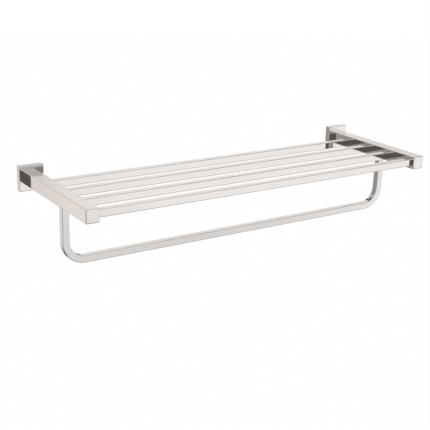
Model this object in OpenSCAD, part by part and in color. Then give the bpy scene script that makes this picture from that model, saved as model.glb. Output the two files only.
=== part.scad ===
// Wall-mounted towel shelf: four square bars between two arms, with a square towel rail below.
// X runs along the bars, the front is -Y, the wall is the plane Y = 0 and Z is up.
// The origin is the centre of the four wall screw holes, on the wall plane.

/* [Overall] */
// distance between the outer faces of the two arms
rack_length = 600; // [400:5:900]
// reach of the arms in front of the flanges
arm_reach = 202; // [150:1:260]

/* [Arms] */
// width and height of the square arm tube
arm_size = 20; // [16:0.5:26]
// wall thickness of the arm tube
arm_wall = 1; // [0.8:0.1:1.5]
// outside corner radius of the arm tube
arm_edge_r = 1.2; // [0.4:0.1:2]
// thickness of the plate that closes the front of an arm
cap_thick = 1.5; // [1:0.1:3]
// length of the cap's spigot inside the tube
cap_spigot = 2; // [1:0.5:3]
// length of the threaded plug in the root of an arm
plug_length = 14; // [8:1:17]

/* [Shelf bars] */
// width and height of the square bars
bar_size = 11; // [8:0.5:14]
// wall thickness of the bar tube
bar_wall = 1; // [0.8:0.1:1.5]
// outside corner radius of the bar tube
bar_edge_r = 0.9; // [0.4:0.1:2]
// distance from the front of the arm to the front bar
bar_setback = 5.5; // [4.5:0.1:12]
// distance from the flange to the back of the rear bar
bar_rear_gap = 35.5; // [20:0.5:60]
// length of a bar's end that is let into an arm
bar_insert = 6; // [3:0.5:8]

/* [Towel rail] */
// width and height of the square rail tube
rail_size = 10.5; // [8:0.5:14]
// wall thickness of the rail tube
rail_wall = 1; // [0.8:0.1:1.5]
// outside corner radius of the rail tube
rail_edge_r = 0.9; // [0.4:0.1:2]
// depth of the rail's underside below the top of the arms
rail_drop = 108; // [70:0.5:160]
// distance from the flange to the middle of the rail
rail_setback = 112; // [80:0.5:140]
// centre-line radius of the rail's two bends
rail_bend_r = 29; // [18:1:45]
// gap between the top of a rail leg and the level of the bars
leg_gap = 0.5; // [0.2:0.1:1.5]

/* [Flanges] */
// width and height of a flange
flange_size = 38; // [34:0.5:60]
// depth of a flange from the wall to its front
flange_depth = 9; // [8:0.5:16]
// thickness of a flange's side walls
flange_wall = 2; // [1.5:0.1:3]
// thickness of a flange's front
flange_floor = 2.5; // [2:0.1:4]
// radius on the outside edges of a flange
flange_edge_r = 0.8; // [0.4:0.1:2]

/* [Wall plates] */
// thickness of a wall plate
plate_thick = 4; // [3:0.5:5]
// slant of a wall plate's upper and lower edges, which the flange hooks over
plate_undercut = 1.5; // [1:0.1:2]
// space inside the flange to the left and right of a wall plate
plate_side_gap = 1.5; // [0.5:0.1:4]
// space inside the flange above a wall plate
plate_top_gap = 1.5; // [1:0.1:3]
// space inside the flange below a wall plate
plate_low_gap = 1.8; // [1.5:0.1:4]
// diameter of a wall screw hole
wall_hole_d = 4.5; // [3.5:0.1:6]
// height between the two screw holes of a wall plate
wall_hole_pitch = 19; // [16:0.5:22]

/* [Fasteners] */
// nominal diameter of the screw that holds an arm to its flange
bolt_d = 5; // [4:1:6]
// nominal diameter of the grub screw that locks a flange
grub_d = 4; // [3:1:5]
// clearance around the parts that are let into one another
fit_gap = 0.1; // [0.05:0.05:0.3]

/* [Hidden] */
$fn = 48;
cut = 0.5;
post_pitch = rack_length - arm_size;
arm_bore = arm_size - 2 * arm_wall;
arm_bore_r = max(0.3, arm_edge_r - arm_wall);
tube_length = arm_reach - cap_thick;
arm_root = -flange_depth;
arm_front = arm_root - arm_reach;
key_depth = 1;
plug_size = arm_bore - 2 * fit_gap;
first_bar_y = arm_root - bar_rear_gap - bar_size / 2;
last_bar_y = arm_front + bar_setback + bar_size / 2;
bar_step = (first_bar_y - last_bar_y) / 3;
bar_span = rack_length - 2 * arm_size;
bar_length = bar_span + 2 * bar_insert;
rail_y = arm_root - rail_setback;
rail_z = arm_size / 2 - rail_drop + rail_size / 2;
leg_top = -bar_size / 2 - leg_gap;
leg_base = rail_z + rail_bend_r;
pocket = flange_size - 2 * flange_wall;
pocket_deep = flange_depth - flange_floor;
plate_w = pocket - 2 * plate_side_gap;
plate_low = -pocket / 2 + plate_low_gap;
plate_high = pocket / 2 - plate_top_gap;
bolt_r = bolt_d / 2;
head_r = 0.85 * bolt_d;
head_h = 0.7 * bolt_d;
washer_r = bolt_d;
washer_h = 1;
head_space = 0.6;
hook_lift = plate_undercut - 0.15;
head_back = -pocket_deep + washer_h + head_h;
bolt_reach = flange_floor - key_depth + washer_h + plug_length - 2;
grub_y = -plate_thick / 2 - 0.6;
grub_r = grub_d / 2;
grub_base = -flange_size / 2 + 0.3;
tip_r = grub_r * 0.45;
grub_tip = plate_low + plate_undercut * (1 - (abs(grub_y) + tip_r) / plate_thick) - 0.05;
boss_top = plate_low - 0.6;
steel = [0.62, 0.63, 0.65];
chrome = [0.84, 0.85, 0.87];
zinc = [0.72, 0.73, 0.76];
brass = [0.80, 0.67, 0.38];

// ---- shared shapes ----

// square with round corners, centred
module round_square(size, r) {
  square([size, size - 2 * r], center = true);
  square([size - 2 * r, size], center = true);
  for (sx = [-1, 1]) {
    for (sy = [-1, 1]) {
      translate([sx * (size / 2 - r), sy * (size / 2 - r)]) circle(r = r);
    }
  }
}

// side view of a block whose two front edges are round, with its back on y = 0
module nosed_outline(size, depth, r) {
  translate([-size / 2, -depth + r]) square([size, depth - r]);
  translate([-size / 2 + r, -depth]) square([size - 2 * r, depth]);
  for (sx = [-1, 1]) {
    translate([sx * (size / 2 - r), -depth + r]) circle(r = r);
  }
}

// square bar that runs from y = 0 to the front, with round long edges
module front_bar(size, length, r) {
  rotate([90, 0, 0]) linear_extrude(height = length) round_square(size, r);
}

// square block with its back on y = 0 and every other edge round
module nosed_block(size, depth, r) {
  intersection() {
    front_bar(size, depth, r);
    translate([0, 0, -size / 2]) linear_extrude(height = size) nosed_outline(size, depth, r);
    rotate([90, 0, 90]) translate([0, 0, -size / 2]) linear_extrude(height = size) {
      rotate(90) mirror([0, 1]) nosed_outline(size, depth, r);
    }
  }
}

// square bar along x, from x = 0
module side_bar(size, length, r) {
  rotate([90, 0, 90]) linear_extrude(height = length) round_square(size, r);
}

// places children at the left post (-1) or the right post (1)
module at_post(side) {
  translate([side * post_pitch / 2, 0, 0]) children();
}

// ---- wall plates ----

// plate with a window for the head of the arm's screw between its two screw holes
module wall_plate() {
  color(zinc) difference() {
    translate([-plate_w / 2, 0, 0]) rotate([90, 0, 90]) linear_extrude(height = plate_w) {
      polygon([
        [0, plate_low + plate_undercut],
        [-plate_thick, plate_low],
        [-plate_thick, plate_high],
        [0, plate_high - plate_undercut]
      ]);
    }
    for (sz = [-1, 1]) {
      translate([0, cut, sz * wall_hole_pitch / 2]) rotate([90, 0, 0]) {
        cylinder(h = plate_thick + 2 * cut, d = wall_hole_d);
      }
    }
    translate([-head_r - head_space, -plate_thick - cut, -head_r - hook_lift]) {
      cube([2 * (head_r + head_space), plate_thick + 2 * cut, 2 * (head_r + hook_lift)]);
    }
  }
}

module left_wall_plate() {
  at_post(-1) wall_plate();
}

module right_wall_plate() {
  at_post(1) wall_plate();
}

// ---- flanges ----

module flange() {
  color(chrome) difference() {
    union() {
      difference() {
        nosed_block(flange_size, flange_depth, flange_edge_r);
        translate([-pocket / 2, -pocket_deep, -pocket / 2]) {
          cube([pocket, pocket_deep + cut, pocket]);
        }
      }
      hook_ridge();
      grub_boss();
    }
    translate([0, arm_root + key_depth, 0]) {
      front_bar(plug_size + 2 * fit_gap, key_depth + cut, arm_bore_r);
    }
    rotate([90, 0, 0]) cylinder(h = flange_depth + cut, r = bolt_r + 0.25);
    translate([0, grub_y, -flange_size / 2 - cut]) {
      cylinder(h = boss_top + flange_size / 2 + 2 * cut, r = grub_r + 0.05);
    }
  }
}

// ridge inside the top of the flange that hooks over the wall plate
module hook_ridge() {
  ridge_low = plate_high - plate_undercut + 0.2;
  ridge_deep = plate_thick - 0.6;
  ridge_end = ridge_low + plate_undercut * ridge_deep / plate_thick;
  translate([-plate_w / 2 + 2, 0, 0]) rotate([90, 0, 90]) linear_extrude(height = plate_w - 4) {
    polygon([
      [-0.3, pocket / 2 + 0.5],
      [-0.3, ridge_low + plate_undercut * 0.3 / plate_thick],
      [-ridge_deep, ridge_end],
      [-ridge_deep, pocket / 2 + 0.5]
    ]);
  }
}

// thickening inside the bottom of the flange for the grub screw
module grub_boss() {
  translate([-grub_d, -pocket_deep - 0.5, -pocket / 2 - 0.5]) {
    cube([2 * grub_d, pocket_deep + 0.2, boss_top + pocket / 2 + 0.5]);
  }
}

module left_flange() {
  at_post(-1) flange();
}

module right_flange() {
  at_post(1) flange();
}

// ---- fasteners ----

// low head socket screw whose head bears on the washer
module flange_bolt() {
  translate([0, head_back, 0]) rotate([90, 0, 0]) difference() {
    union() {
      cylinder(h = head_h, r = head_r);
      cylinder(h = head_h + bolt_reach, r = bolt_r);
    }
    translate([0, 0, -cut]) cylinder(h = head_h * 0.6 + cut, r = bolt_r * 0.66, $fn = 6);
  }
}

module flange_bolts() {
  color(steel) for (side = [-1, 1]) {
    at_post(side) flange_bolt();
  }
}

module flange_washer() {
  translate([0, -pocket_deep + washer_h, 0]) rotate([90, 0, 0]) difference() {
    cylinder(h = washer_h, r = washer_r);
    translate([0, 0, -cut]) cylinder(h = washer_h + 2 * cut, r = bolt_r + 0.15);
  }
}

module flange_washers() {
  color(steel) for (side = [-1, 1]) {
    at_post(side) flange_washer();
  }
}

// grub screw with a hexagon socket below and a cone point above
module grub_screw() {
  point = 1;
  translate([0, grub_y, grub_base]) difference() {
    union() {
      cylinder(h = grub_tip - grub_base - point, r = grub_r);
      translate([0, 0, grub_tip - grub_base - point]) cylinder(h = point, r1 = grub_r, r2 = tip_r);
    }
    translate([0, 0, -cut]) cylinder(h = 2 + cut, r = grub_r * 0.58, $fn = 6);
  }
}

module grub_screws() {
  color(steel) for (side = [-1, 1]) {
    at_post(side) grub_screw();
  }
}

// ---- arms ----

module root_plug() {
  color(brass) translate([0, arm_root + key_depth, 0]) difference() {
    front_bar(plug_size, plug_length + key_depth, 0.4);
    translate([0, cut, 0]) rotate([90, 0, 0]) cylinder(h = plug_length + key_depth + 2 * cut, r = bolt_r + 0.05);
  }
}

module left_root_plug() {
  at_post(-1) root_plug();
}

module right_root_plug() {
  at_post(1) root_plug();
}

// arm tube with four openings for the bars on its inner side and one for the rail below
module arm(side) {
  color(chrome) difference() {
    translate([0, arm_root, 0]) front_bar(arm_size, tube_length, arm_edge_r);
    translate([0, arm_root + cut, 0]) front_bar(arm_bore, tube_length + 2 * cut, arm_bore_r);
    for (i = [0 : 3]) {
      translate([0, first_bar_y - i * bar_step, 0]) mirror([side > 0 ? 1 : 0, 0, 0]) {
        side_bar(bar_size + 2 * fit_gap, arm_size, bar_edge_r + fit_gap);
      }
    }
    translate([0, rail_y, -arm_size / 2 - cut]) linear_extrude(height = arm_wall + 2 * cut) {
      round_square(rail_size + 2 * fit_gap, rail_edge_r + fit_gap);
    }
  }
}

module left_arm() {
  at_post(-1) arm(-1);
}

module right_arm() {
  at_post(1) arm(1);
}

// plate over the front of the arm, with a spigot inside the tube
module arm_cap() {
  color(chrome) translate([0, arm_root - tube_length, 0]) {
    nosed_block(arm_size, cap_thick, min(arm_edge_r, cap_thick - 0.2));
    translate([0, cap_spigot, 0]) front_bar(arm_bore - 2 * fit_gap, cap_spigot + cap_thick / 2, 0.4);
  }
}

module left_arm_cap() {
  at_post(-1) arm_cap();
}

module right_arm_cap() {
  at_post(1) arm_cap();
}

// ---- shelf bars ----

// bars are numbered from the wall to the front
module shelf_bar(i) {
  color(chrome) translate([-bar_length / 2, first_bar_y - (i - 1) * bar_step, 0]) difference() {
    side_bar(bar_size, bar_length, bar_edge_r);
    translate([-cut, 0, 0]) side_bar(bar_size - 2 * bar_wall, bar_length + 2 * cut, 0.3);
  }
}

module shelf_bar_1() {
  shelf_bar(1);
}

module shelf_bar_2() {
  shelf_bar(2);
}

module shelf_bar_3() {
  shelf_bar(3);
}

module shelf_bar_4() {
  shelf_bar(4);
}

// ---- towel rail ----

// right half of the rail's path: leg, bend and rail up to the middle
module rail_half(size, r, over) {
  translate([post_pitch / 2 - rail_bend_r, 0, leg_base]) {
    rotate([90, 0, 0]) rotate([0, 0, 270]) {
      rotate_extrude(angle = 90) translate([rail_bend_r, 0]) round_square(size, r);
    }
    translate([rail_bend_r, 0, 0]) linear_extrude(height = leg_top - leg_base + over) round_square(size, r);
    translate([0, 0, -rail_bend_r]) mirror([1, 0, 0]) side_bar(size, post_pitch / 2 - rail_bend_r, r);
  }
}

// one bent length of square tube: two legs, two bends and the rail itself
module rail_path(size, r, over) {
  rail_half(size, r, over);
  mirror([1, 0, 0]) rail_half(size, r, over);
}

module towel_rail() {
  color(chrome) translate([0, rail_y, 0]) difference() {
    rail_path(rail_size, rail_edge_r, 0);
    rail_path(rail_size - 2 * rail_wall, 0.3, cut);
  }
}

// ---- output ----

left_wall_plate();
right_wall_plate();
left_flange();
right_flange();
flange_bolts();
flange_washers();
grub_screws();
left_root_plug();
right_root_plug();
left_arm();
right_arm();
left_arm_cap();
right_arm_cap();
shelf_bar_1();
shelf_bar_2();
shelf_bar_3();
shelf_bar_4();
towel_rail();
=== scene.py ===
import math
import bpy
import bmesh
from mathutils import Matrix, Vector


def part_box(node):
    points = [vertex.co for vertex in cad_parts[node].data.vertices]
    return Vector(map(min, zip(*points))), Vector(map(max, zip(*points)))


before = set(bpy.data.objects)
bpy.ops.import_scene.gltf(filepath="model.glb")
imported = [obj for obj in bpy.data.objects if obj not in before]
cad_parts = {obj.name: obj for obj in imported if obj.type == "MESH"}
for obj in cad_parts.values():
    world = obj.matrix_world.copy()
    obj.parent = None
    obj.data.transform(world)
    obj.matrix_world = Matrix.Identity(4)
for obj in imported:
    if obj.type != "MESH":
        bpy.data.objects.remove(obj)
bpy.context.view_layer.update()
scene = bpy.context.scene

# ---------------------------------------------------------------- camera

CAMERA_PLACE = Vector((-0.78865, -1.24250, 0.38034))
CAMERA_HEADING = -33.672  # degrees about Z, from a look along +Y
CAMERA_DIP = 18.224  # degrees below the horizon
CAMERA_ROLL = 1.704  # degrees about the line of sight

cam_data = bpy.data.cameras.new("camera")
cam_data.lens = 77.82
cam_data.sensor_width = 36.0
cam_data.clip_end = 100.0
camera = bpy.data.objects.new("camera", cam_data)
scene.collection.objects.link(camera)
turn = Matrix.Rotation(math.radians(CAMERA_HEADING), 4, "Z")
tilt = Matrix.Rotation(math.radians(90.0 - CAMERA_DIP), 4, "X")
roll = Matrix.Rotation(math.radians(CAMERA_ROLL), 4, "Z")
camera.matrix_world = Matrix.Translation(CAMERA_PLACE) @ turn @ tilt @ roll
scene.camera = camera

# ---------------------------------------------------------------- node helpers

NOISE_LOW, NOISE_HIGH = 0.3, 0.7  # the range that most of a noise lies in


def new_material(name):
    mat = bpy.data.materials.new(name)
    mat.use_nodes = True
    tree = mat.node_tree
    tree.nodes.clear()
    return mat, tree


def add(tree, kind, **values):
    """A new node, with its sockets or its settings set by name."""
    node = tree.nodes.new(kind)
    for key, value in values.items():
        if key in node.inputs:
            node.inputs[key].default_value = value
        else:
            setattr(node, key, value)
    return node


def stretched_noise(tree, stretch, scale, detail):
    """Noise in object coordinates, drawn out along the axes where stretch is small."""
    coords = add(tree, "ShaderNodeTexCoord")
    mapping = add(tree, "ShaderNodeMapping", Scale=stretch)
    noise = add(tree, "ShaderNodeTexNoise", Scale=scale, Detail=detail, Roughness=0.6)
    tree.links.new(coords.outputs["Object"], mapping.inputs["Vector"])
    tree.links.new(mapping.outputs["Vector"], noise.inputs["Vector"])
    return noise.outputs["Fac"]


def span(tree, value, low, high, from_low=NOISE_LOW, from_high=NOISE_HIGH):
    """Maps a value from one range to another, and holds it at the ends."""
    node = add(tree, "ShaderNodeMapRange")
    node.inputs["From Min"].default_value = from_low
    node.inputs["From Max"].default_value = from_high
    node.inputs["To Min"].default_value = low
    node.inputs["To Max"].default_value = high
    tree.links.new(value, node.inputs["Value"])
    return node.outputs["Result"]


def tint(tree, value, low, high):
    """Maps a noise to a colour between two."""
    ramp = add(tree, "ShaderNodeValToRGB")
    start, end = ramp.color_ramp.elements
    start.position, start.color = NOISE_LOW, (*low, 1.0)
    end.position, end.color = NOISE_HIGH, (*high, 1.0)
    tree.links.new(value, ramp.inputs["Fac"])
    return ramp.outputs["Color"]


def relief(tree, shader, layers):
    """Chains bump nodes, each a (height, strength, distance) layer."""
    previous = None
    for height, strength, distance in layers:
        bump = add(tree, "ShaderNodeBump", Strength=strength, Distance=distance)
        tree.links.new(height, bump.inputs["Height"])
        if previous is not None:
            tree.links.new(previous.outputs["Normal"], bump.inputs["Normal"])
        previous = bump
    tree.links.new(previous.outputs["Normal"], shader.inputs["Normal"])


def mix_shaders(tree, share, first, second, output_kind="ShaderNodeOutputMaterial"):
    """Ends a tree in first where share is 0 and in second where it is 1."""
    blend = add(tree, "ShaderNodeMixShader")
    out = add(tree, output_kind)
    tree.links.new(share, blend.inputs["Fac"])
    tree.links.new(first, blend.inputs[1])
    tree.links.new(second, blend.inputs[2])
    tree.links.new(blend.outputs["Shader"], out.inputs["Surface"])


# ---------------------------------------------------------------- metals

ALONG_X = (0.03, 1.0, 1.0)
ALONG_Y = (1.0, 0.03, 1.0)
ALONG_Z = (1.0, 1.0, 0.03)
EVEN = (1.0, 1.0, 1.0)

CLOUD_SCALE = 14.0  # patches of about 70 mm
LINE_SCALE = 900.0  # lines about 1 mm wide
PATCH_SCALE = 60.0  # patches of about 17 mm
CLOUD_RELIEF = (0.02, 0.0002)  # strength and distance in metres
LINE_RELIEF = (0.02, 0.00002)
MARK_STRENGTH = 0.35
PATCH_STRENGTH = 0.15
CHROME_ROUGHNESS = (0.02, 0.05)
LEG_BLEND = (0.022, 0.012)  # metres in from the rail's side, where its middle turns into a leg

BRIGHT_CHROME = ((0.821, 0.789, 0.773), (0.839, 0.807, 0.791))
# painted shade: a darker copy of the bright chrome, given to the towel rail
PAINTED_SHADE_CHROME = ((0.775, 0.745, 0.730), (0.793, 0.763, 0.747))
GREY_ZINC = ((0.42, 0.43, 0.45), (0.56, 0.57, 0.59))
PALE_STEEL = ((0.60, 0.60, 0.58), (0.72, 0.72, 0.71))
YELLOW_BRASS = ((0.68, 0.50, 0.22), (0.80, 0.62, 0.30))


def metal(tree, tints, tint_noise, roughness, roughness_noise, layers):
    """Ends a tree in a metal whose colour, roughness and relief follow noises."""
    shader = add(tree, "ShaderNodeBsdfPrincipled", Metallic=1.0)
    tree.links.new(tint(tree, tint_noise, *tints), shader.inputs["Base Color"])
    tree.links.new(span(tree, roughness_noise, *roughness), shader.inputs["Roughness"])
    relief(tree, shader, layers)
    out = add(tree, "ShaderNodeOutputMaterial")
    tree.links.new(shader.outputs["BSDF"], out.inputs["Surface"])


def polishing_lines(tree, stretch):
    return stretched_noise(tree, stretch, LINE_SCALE, detail=2.0)


def lines_along_rail(tree):
    """Polishing lines that run along X in the middle of the rail and along Z on its legs."""
    coords = add(tree, "ShaderNodeTexCoord")
    parts = add(tree, "ShaderNodeSeparateXYZ")
    sideways = add(tree, "ShaderNodeMath", operation="ABSOLUTE")
    tree.links.new(coords.outputs["Object"], parts.inputs["Vector"])
    tree.links.new(parts.outputs["X"], sideways.inputs[0])
    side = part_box("towel_rail")[1][0]
    on_leg = span(tree, sideways.outputs["Value"], 0.0, 1.0, side - LEG_BLEND[0], side - LEG_BLEND[1])
    blend = add(tree, "ShaderNodeMix", data_type="FLOAT")
    tree.links.new(on_leg, blend.inputs["Factor"])
    tree.links.new(polishing_lines(tree, ALONG_X), blend.inputs["A"])
    tree.links.new(polishing_lines(tree, ALONG_Z), blend.inputs["B"])
    return blend.outputs["Result"]


def chrome(name, tints, stretch=None):
    """Chrome plate with a faint cloudiness and fine polishing lines.

    The lines are drawn out as stretch says, or along the bent rail where it is None.
    """
    mat, tree = new_material(name)
    cloud = stretched_noise(tree, EVEN, CLOUD_SCALE, detail=3.0)
    lines = polishing_lines(tree, stretch) if stretch else lines_along_rail(tree)
    layers = [(lines, *LINE_RELIEF), (cloud, *CLOUD_RELIEF)]
    metal(tree, tints, cloud, CHROME_ROUGHNESS, lines, layers)
    return mat


def worked_metal(name, tints, stretch, scale, roughness, depth):
    """Plain metal with the marks of its making: cast, rolled or turned."""
    mat, tree = new_material(name)
    marks = stretched_noise(tree, stretch, scale, detail=6.0)
    patches = stretched_noise(tree, EVEN, PATCH_SCALE, detail=3.0)
    layers = [(marks, MARK_STRENGTH, depth), (patches, PATCH_STRENGTH, depth)]
    metal(tree, tints, patches, roughness, marks, layers)
    return mat


bar_chrome = chrome("bar_chrome", BRIGHT_CHROME, ALONG_X)
arm_chrome = chrome("arm_chrome", BRIGHT_CHROME, ALONG_Y)
flange_chrome = chrome("flange_chrome", BRIGHT_CHROME, EVEN)
# the rail's chrome is painted darker than the bars' chrome, as painted shade
rail_shaded_chrome = chrome("rail_shaded_chrome", PAINTED_SHADE_CHROME)
cast_zinc = worked_metal("cast_zinc", GREY_ZINC, EVEN,
                         scale=700.0, roughness=(0.38, 0.6), depth=0.0001)
plated_steel = worked_metal("plated_steel", PALE_STEEL, EVEN,
                            scale=900.0, roughness=(0.22, 0.4), depth=0.00004)
turned_brass = worked_metal("turned_brass", YELLOW_BRASS, ALONG_X,
                            scale=600.0, roughness=(0.2, 0.4), depth=0.00005)

FINISH = {
    "left_wall_plate": cast_zinc,
    "right_wall_plate": cast_zinc,
    "left_flange": flange_chrome,
    "right_flange": flange_chrome,
    "flange_bolts": plated_steel,
    "flange_washers": plated_steel,
    "grub_screws": plated_steel,
    "left_root_plug": turned_brass,
    "right_root_plug": turned_brass,
    "left_arm": arm_chrome,
    "right_arm": arm_chrome,
    "left_arm_cap": flange_chrome,
    "right_arm_cap": flange_chrome,
    "shelf_bar_1": bar_chrome,
    "shelf_bar_2": bar_chrome,
    "shelf_bar_3": bar_chrome,
    "shelf_bar_4": bar_chrome,
    "towel_rail": rail_shaded_chrome,
}

for name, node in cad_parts.items():
    for slot in node.material_slots:
        slot.material = FINISH[name]

# ---------------------------------------------------------------- studio

CARD_DISTANCE = 10.0  # metres from the rack to the first card
CARD_SPACING = 0.02  # metres by which each later card stands nearer
CARD_MESH_STEP = 4.0  # degrees, at most
POLE = 89.9  # degrees, so that the end rows of a card keep some width
FLAG_STEPS = 6  # mesh steps from the middle of a flag to its edge
FLAG_SOFT_STEPS = 3  # of these, the outer ones over which it thins out


def direction(azimuth, elevation):
    """Azimuth 0 lies behind the rack (+Y) and 90 to its right (+X)."""
    a = math.radians(azimuth)
    e = math.radians(elevation)
    return Vector((math.sin(a) * math.cos(e), math.cos(a) * math.cos(e), math.sin(e)))


def ease(t):
    t = min(1.0, max(0.0, t))
    return t * t * (3.0 - 2.0 * t)


def grey(level):
    return (level, level, level)


def card_material(name, colour):
    """Light of one colour, which thins out to nothing where the card's cover falls to 0."""
    mat, tree = new_material(name)
    cover = add(tree, "ShaderNodeAttribute", attribute_name="cover")
    clear = add(tree, "ShaderNodeBsdfTransparent")
    emission = add(tree, "ShaderNodeEmission", Color=(*colour, 1.0), Strength=1.0)
    mix_shaders(tree, cover.outputs["Fac"], clear.outputs["BSDF"], emission.outputs["Emission"])
    return mat


def sheet(name, rows, colour):
    """A studio card from rows of (point, cover), seen only in reflections."""
    mesh = bpy.data.meshes.new(name)
    work = bmesh.new()
    layer = work.verts.layers.float.new("cover")
    grid = []
    for row in rows:
        line = []
        for point, cover in row:
            vert = work.verts.new(point)
            vert[layer] = cover
            line.append(vert)
        grid.append(line)
    for lower, upper in zip(grid, grid[1:]):
        for i in range(len(lower) - 1):
            work.faces.new((lower[i], lower[i + 1], upper[i + 1], upper[i]))
    work.to_mesh(mesh)
    work.free()
    piece = bpy.data.objects.new(name, mesh)
    scene.collection.objects.link(piece)
    mesh.materials.append(card_material(name, colour))
    piece.visible_camera = False
    piece.visible_diffuse = False
    piece.visible_shadow = False


def card(name, azimuths, elevations, colour, soft, distance):
    """A curved card around the rack, whose edges thin out over soft degrees."""
    half = soft / 2.0
    west, east = azimuths[0] - half, azimuths[1] + half
    low, high = max(-POLE, elevations[0] - half), min(POLE, elevations[1] + half)
    all_round = azimuths[1] - azimuths[0] >= 360.0
    step = min(CARD_MESH_STEP, half)
    across = max(2, int((east - west) / step))
    up = max(2, int((high - low) / step))
    rows = []
    for j in range(up + 1):
        el = low + (high - low) * j / up
        rise = 1.0 if elevations[0] <= -90.0 else ease((el - low) / soft)
        fall = 1.0 if elevations[1] >= 90.0 else ease((high - el) / soft)
        row = []
        for i in range(across + 1):
            az = west + (east - west) * i / across
            side = 1.0 if all_round else ease((az - west) / soft) * ease((east - az) / soft)
            row.append((direction(az, el) * distance, rise * fall * side))
        rows.append(row)
    sheet(name, rows, colour)


def flag(name, centre, half_width, half_height, colour):
    """A small upright card that faces the rack, soft towards all its edges."""
    across = Vector((-centre[1], centre[0], 0.0)).normalized()
    rows = []
    for j in range(-FLAG_STEPS, FLAG_STEPS + 1):
        rise = Vector((0.0, 0.0, half_height * j / FLAG_STEPS))
        level = ease((FLAG_STEPS - abs(j)) / FLAG_SOFT_STEPS)
        row = []
        for i in range(-FLAG_STEPS, FLAG_STEPS + 1):
            point = centre + across * (half_width * i / FLAG_STEPS) + rise
            row.append((point, ease((FLAG_STEPS - abs(i)) / FLAG_SOFT_STEPS) * level))
        rows.append(row)
    sheet(name, rows, colour)


# name, azimuths, elevations, colour and soft edge, in degrees; a later one stands in front
CARDS = (
    ("card_overhead", (-180.0, 180.0), (60.0, 90.0), grey(0.65), 8.0),
    ("card_below", (-180.0, 180.0), (-90.0, -36.0), grey(0.15), 6.0),
    ("card_back_left", (-8.0, 24.0), (3.0, 50.0), (0.72, 0.70, 0.69), 5.0),
    ("card_right", (40.0, 112.0), (3.0, 60.0), (0.79, 0.775, 0.765), 6.0),
    ("card_right_upper", (62.0, 112.0), (38.0, 60.0), grey(0.4), 6.0),
    ("card_right_low", (58.0, 127.0), (-38.0, 2.0), grey(0.3), 4.0),
    ("card_back", (22.0, 44.0), (3.0, 50.0), (0.885, 0.865, 0.85), 3.0),
    ("card_back_bright", (27.0, 39.0), (8.0, 18.0), (0.94, 0.92, 0.91), 4.0),
    ("card_front_upper", (112.0, 152.0), (3.0, 54.0), grey(0.37), 5.0),
    ("card_front_horizon", (122.0, 146.0), (2.0, 17.0), (0.91, 0.89, 0.88), 4.0),
    ("card_front", (152.0, 196.0), (3.0, 60.0), grey(0.6), 5.0),
    ("card_front_left", (154.0, 176.0), (-30.0, 3.0), (0.95, 0.95, 0.945), 8.0),
    ("card_front_low", (92.0, 150.0), (-33.0, -17.9), (0.87, 0.865, 0.86), 1.6),
    ("card_front_low_left", (147.0, 192.0), (-33.0, -18.3), (0.85, 0.845, 0.84), 1.6),
    ("card_front_lowest", (96.0, 188.0), (-42.0, -27.0), grey(0.36), 4.0),
    ("card_left_side", (-122.0, -62.0), (-38.0, 45.0), grey(0.45), 6.0),
    ("card_far_left", (-64.0, -34.5), (-38.0, 50.0), (0.36, 0.35, 0.335), 3.0),
    ("card_upper_left", (-36.0, -8.0), (6.0, 50.0), (0.62, 0.60, 0.59), 6.0),
    ("card_front_left_low", (-172.0, -122.0), (-38.0, 2.0), (0.42, 0.42, 0.41), 6.0),
    ("card_behind", (0.0, 52.0), (-38.0, 4.0), (0.29, 0.28, 0.29), 5.0),
    ("card_behind_right", (35.0, 52.0), (-38.0, -3.0), (0.43, 0.42, 0.42), 4.0),
    ("card_left", (-34.0, -4.0), (-38.0, 4.0), (0.72, 0.69, 0.67), 5.0),
    ("card_left_bright", (-34.0, -24.0), (-38.0, 4.0), (0.89, 0.85, 0.82), 5.0),
    ("card_below_left", (-44.0, 2.0), (-90.0, -31.0), (0.10, 0.10, 0.095), 9.0),
    ("card_below_back", (0.0, 60.0), (-90.0, -21.5), (0.08, 0.08, 0.075), 4.0),
)
for count, (name, azimuths, elevations, colour, soft) in enumerate(CARDS):
    card(name, azimuths, elevations, colour, soft, CARD_DISTANCE - CARD_SPACING * count)

# a dark stand below the camera, which the flanges and arms mirror twice
STAND_SHARE = 0.93  # of the way from the origin to the camera's mirror image in the plane Z = 0
stand = Vector((CAMERA_PLACE.x, CAMERA_PLACE.y, -CAMERA_PLACE.z)) * STAND_SHARE
flag("camera_stand", stand, half_width=0.22, half_height=0.24, colour=(0.12, 0.123, 0.103))

# ---------------------------------------------------------------- floor and world

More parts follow.
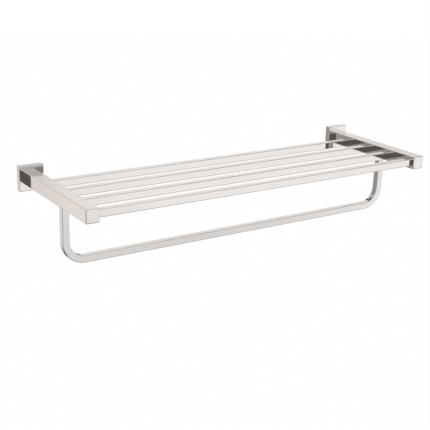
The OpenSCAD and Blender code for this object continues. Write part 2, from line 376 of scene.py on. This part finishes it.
WHITE = (0.999, 0.998, 0.996, 1.0)
FLOOR_SIZE = 180.0
FLOOR_DEPTH = 12.0  # metres below the rack
FLOOR_OWN_LIGHT = 0.98  # share of its look; the rest is lit by the world and takes the rack's shadow
WORLD_STRENGTH = 0.9  # as diffuse light; the camera and mirror images see 1.0


def seen_or_mirrored(tree):
    """1 for rays that come from the camera, from gloss or through glass, and 0 for others."""
    path = add(tree, "ShaderNodeLightPath")
    camera_or_gloss = add(tree, "ShaderNodeMath", operation="MAXIMUM")
    any_of_three = add(tree, "ShaderNodeMath", operation="MAXIMUM")
    tree.links.new(path.outputs["Is Camera Ray"], camera_or_gloss.inputs[0])
    tree.links.new(path.outputs["Is Glossy Ray"], camera_or_gloss.inputs[1])
    tree.links.new(camera_or_gloss.outputs["Value"], any_of_three.inputs[0])
    tree.links.new(path.outputs["Is Transmission Ray"], any_of_three.inputs[1])
    return any_of_three.outputs["Value"]


floor_mat, tree = new_material("pale_floor")
share = add(tree, "ShaderNodeMath", operation="MULTIPLY")
share.inputs[1].default_value = FLOOR_OWN_LIGHT
tree.links.new(seen_or_mirrored(tree), share.inputs[0])
diffuse = add(tree, "ShaderNodeBsdfDiffuse", Color=(0.9, 0.9, 0.89, 1.0))
glow = add(tree, "ShaderNodeEmission", Color=WHITE, Strength=1.0)
mix_shaders(tree, share.outputs["Value"], diffuse.outputs["BSDF"], glow.outputs["Emission"])
bpy.ops.mesh.primitive_plane_add(size=FLOOR_SIZE, location=(0.0, 0.0, -FLOOR_DEPTH))
floor = bpy.context.object
floor.name = "floor"
floor.data.materials.append(floor_mat)

world = bpy.data.worlds.new("studio")
scene.world = world
world.use_nodes = True
tree = world.node_tree
tree.nodes.clear()
ambient = add(tree, "ShaderNodeBackground", Color=WHITE, Strength=WORLD_STRENGTH).outputs["Background"]
backdrop = add(tree, "ShaderNodeBackground", Color=WHITE, Strength=1.0).outputs["Background"]
mix_shaders(tree, seen_or_mirrored(tree), ambient, backdrop, "ShaderNodeOutputWorld")

scene.view_settings.view_transform = "Standard"
